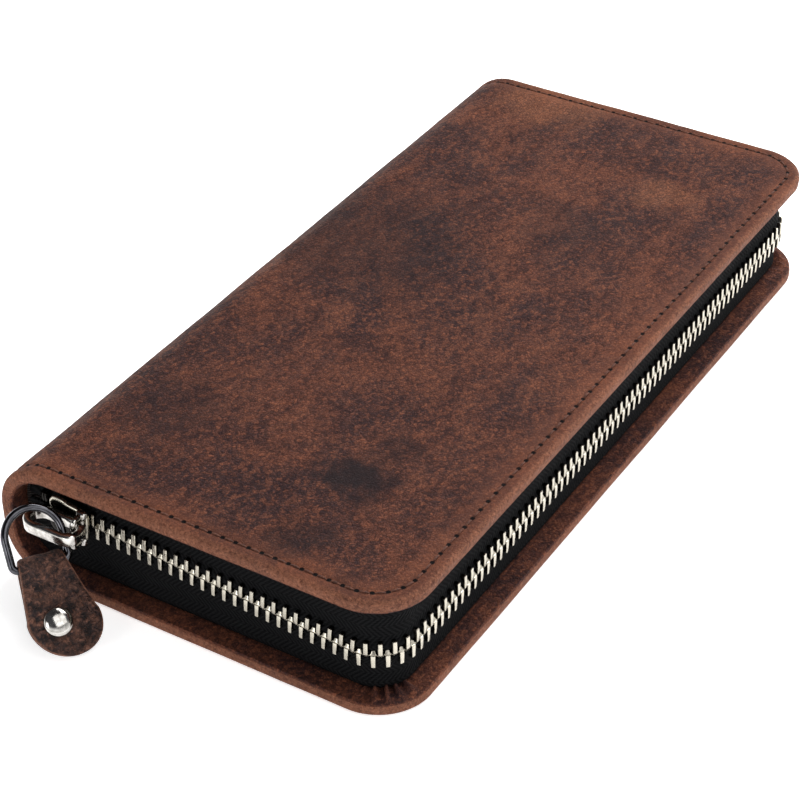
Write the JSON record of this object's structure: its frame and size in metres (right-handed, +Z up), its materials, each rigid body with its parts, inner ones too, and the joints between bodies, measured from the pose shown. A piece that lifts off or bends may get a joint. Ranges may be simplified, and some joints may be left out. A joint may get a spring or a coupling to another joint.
{
  "type": "zip-around leather wallet",
  "caption": "Long leather pouch wallet that opens like a book, closed by a metal zip round three sides, with a leather pull tab, card slots and a zipped coin pocket inside.",
  "frame": {"origin": "middle of the underside of the bottom cover, on the surface that the closed wallet lies on", "axes": "+X along the wallet away from the zip's closed end, +Y towards the spine, +Z up through the closed wallet"},
  "size_m": [0.2108, 0.0944, 0.029],
  "materials": {
    "outer_leather": "oiled matte, mottled, worn lighter at the edges",
    "tab_leather": "oiled matte with lighter raw cut edges",
    "pocket_leather": "smooth, semi-matte",
    "lining_cloth": "fine twill",
    "stiffener_board": "plain pressed board",
    "zip_tape": "herringbone woven tape",
    "nickel": "polished nickel plate",
    "dark_chrome": "dark polished chrome",
    "coil_nylon": "moulded nylon"
  },
  "bodies": {
    "bottom_cover": {"bottom_cover_leather": "outer_leather", "bottom_cover_board": "stiffener_board", "bottom_cover_lining": "lining_cloth", "lower_zip_tape": "zip_tape", "lower_teeth": "nickel", "lower_stop_left": "nickel", "lower_stop_right": "nickel", "lower_card_slot_1": "pocket_leather", "lower_card_slot_2": "pocket_leather", "lower_card_slot_3": "pocket_leather", "lower_card_slot_4": "pocket_leather"},
    "spine": {"spine_leather": "outer_leather", "spine_lining": "lining_cloth", "coin_bag": "pocket_leather", "coin_tape_lower": "zip_tape", "coin_tape_upper": "zip_tape", "coin_coil_lower": "coil_nylon", "coin_coil_upper": "coil_nylon"},
    "top_cover": {"top_cover_leather": "outer_leather", "top_cover_board": "stiffener_board", "top_cover_lining": "lining_cloth", "upper_zip_tape": "zip_tape", "upper_teeth": "nickel", "upper_stop_left": "nickel", "upper_stop_right": "nickel", "upper_card_slot_1": "pocket_leather", "upper_card_slot_2": "pocket_leather", "upper_card_slot_3": "pocket_leather", "upper_card_slot_4": "pocket_leather"},
    "zip_slider": {"slider_body": "nickel", "slider_bail": "nickel"},
    "link": {"pull_link": "nickel"},
    "ring": {"pull_ring": "dark_chrome"},
    "tab": {"tab_leather": "tab_leather", "tab_rivet_cap": "nickel", "tab_rivet_back": "nickel"},
    "coin_zip_slider": {"coin_slider": "nickel"},
    "coin_zip_pull": {"coin_pull": "nickel"}
  },
  "joints": [
    {"name": "spine_fold", "type": "hinge", "parent": "bottom_cover", "child": "spine", "pos_m": [0, 0.04462, 0.00258], "axis": [-1, 0, 0], "range_deg": [0, 90]},
    {"name": "cover_fold", "type": "hinge", "parent": "spine", "child": "top_cover", "pos_m": [0, 0.04462, 0.02643], "axis": [-1, 0, 0], "range_deg": [0, 90]},
    {"name": "slider_run", "type": "slide", "parent": "bottom_cover", "child": "zip_slider", "axis": [0, -0.9969, -0.0785], "range_m": [0, 0.055], "deforming": ["lower_teeth", "upper_teeth"]},
    {"name": "link_swing", "type": "hinge", "parent": "zip_slider", "child": "link", "pos_m": [-0.0964, 0.0273, 0.01792], "axis": [0, -0.0785, 0.9969], "range_deg": [0, 35]},
    {"name": "ring_swing", "type": "hinge", "parent": "link", "child": "ring", "pos_m": [-0.1005, 0.0325, 0.0205], "axis": [0.342, 0.9397, 0], "range_deg": [0, 90]},
    {"name": "tab_swing", "type": "hinge", "parent": "ring", "child": "tab", "pos_m": [-0.10398, 0.02948, 0.01499], "axis": [-0.8131, 0.5821, 0], "range_deg": [0, 90]},
    {"name": "coin_slider_run", "type": "slide", "parent": "spine", "child": "coin_zip_slider", "axis": [1, 0, 0], "range_m": [0, 0.148]},
    {"name": "coin_pull_swing", "type": "hinge", "parent": "coin_zip_slider", "child": "coin_zip_pull", "pos_m": [-0.074, -0.0262, 0.0145], "axis": [0, 0, -1], "range_deg": [0, 180]}
  ],
  "couplings": [
    {"joint": "cover_fold", "follows": "spine_fold", "ratio": 1}
  ]
}
